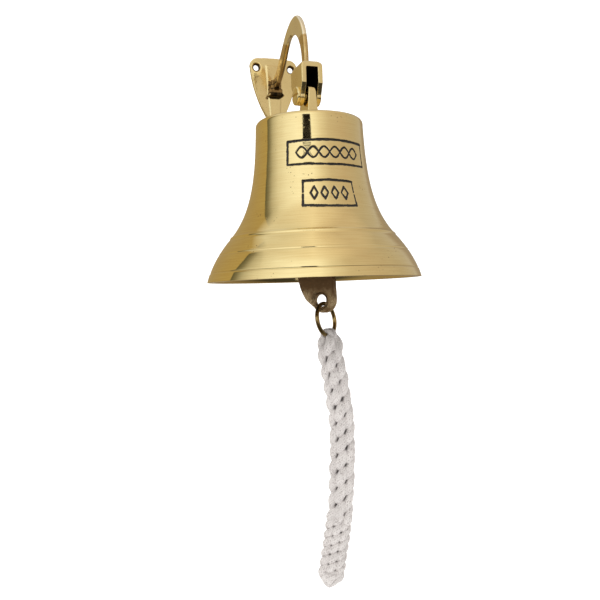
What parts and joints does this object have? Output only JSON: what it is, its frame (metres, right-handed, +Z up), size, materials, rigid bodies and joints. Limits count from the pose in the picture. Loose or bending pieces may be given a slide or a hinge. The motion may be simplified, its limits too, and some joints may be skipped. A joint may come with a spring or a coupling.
{
  "type": "ship bell",
  "caption": "Wall-mounted brass ship bell on a gooseneck bracket, with a clapper and a braided rope lanyard.",
  "frame": {"origin": "on the wall plate's back face, midway between the two upper screw holes", "axes": "+Z up, +Y into the wall, +X to the right"},
  "size_m": [0.15, 0.155, 0.4108],
  "materials": {
    "polished_brass": "polished, fine turning lines",
    "aged_brass": "as cast, dark",
    "cotton_cord": "matt braided cotton"
  },
  "bodies": {
    "bracket": {"wall_bracket": "polished_brass", "pivot_screw": "polished_brass"},
    "bell": {"bell_shell": "polished_brass", "hanger_lug": "polished_brass", "crown_washer": "aged_brass", "crown_nut": "aged_brass", "clapper_eye": "aged_brass"},
    "link": {"clapper_link": "aged_brass"},
    "clapper": {"clapper": "aged_brass"},
    "ring": {"tail_ring": "aged_brass"},
    "lanyard": {"lanyard_loops": "cotton_cord", "lanyard_braid": "cotton_cord", "lanyard_end": "cotton_cord"}
  },
  "joints": [
    {"name": "bell_swing", "type": "hinge", "parent": "bracket", "child": "bell", "pos_m": [0, -0.08, -0.0445], "axis": [1, 0, 0], "range_deg": [-90, 2]},
    {"name": "link_swing", "type": "hinge", "parent": "bell", "child": "link", "pos_m": [0, -0.08, -0.0965], "axis": [0.6018, -0.7986, 0], "range_deg": [-10, 10]},
    {"name": "clapper_swing", "type": "hinge", "parent": "link", "child": "clapper", "pos_m": [0, -0.08, -0.10665], "axis": [-0.7986, -0.6018, 0], "range_deg": [-39, 35]},
    {"name": "ring_swing", "type": "hinge", "parent": "clapper", "child": "ring", "pos_m": [0.00427, -0.08567, -0.1909], "axis": [0.7986, 0.6018, 0], "range_deg": [-60, 60]},
    {"name": "lanyard_slide_round_ring", "type": "hinge", "parent": "ring", "child": "lanyard", "pos_m": [0.00529, -0.08703, -0.20212], "axis": [-0.595, 0.7897, -0.1495], "range_deg": [-70, 70]}
  ]
}
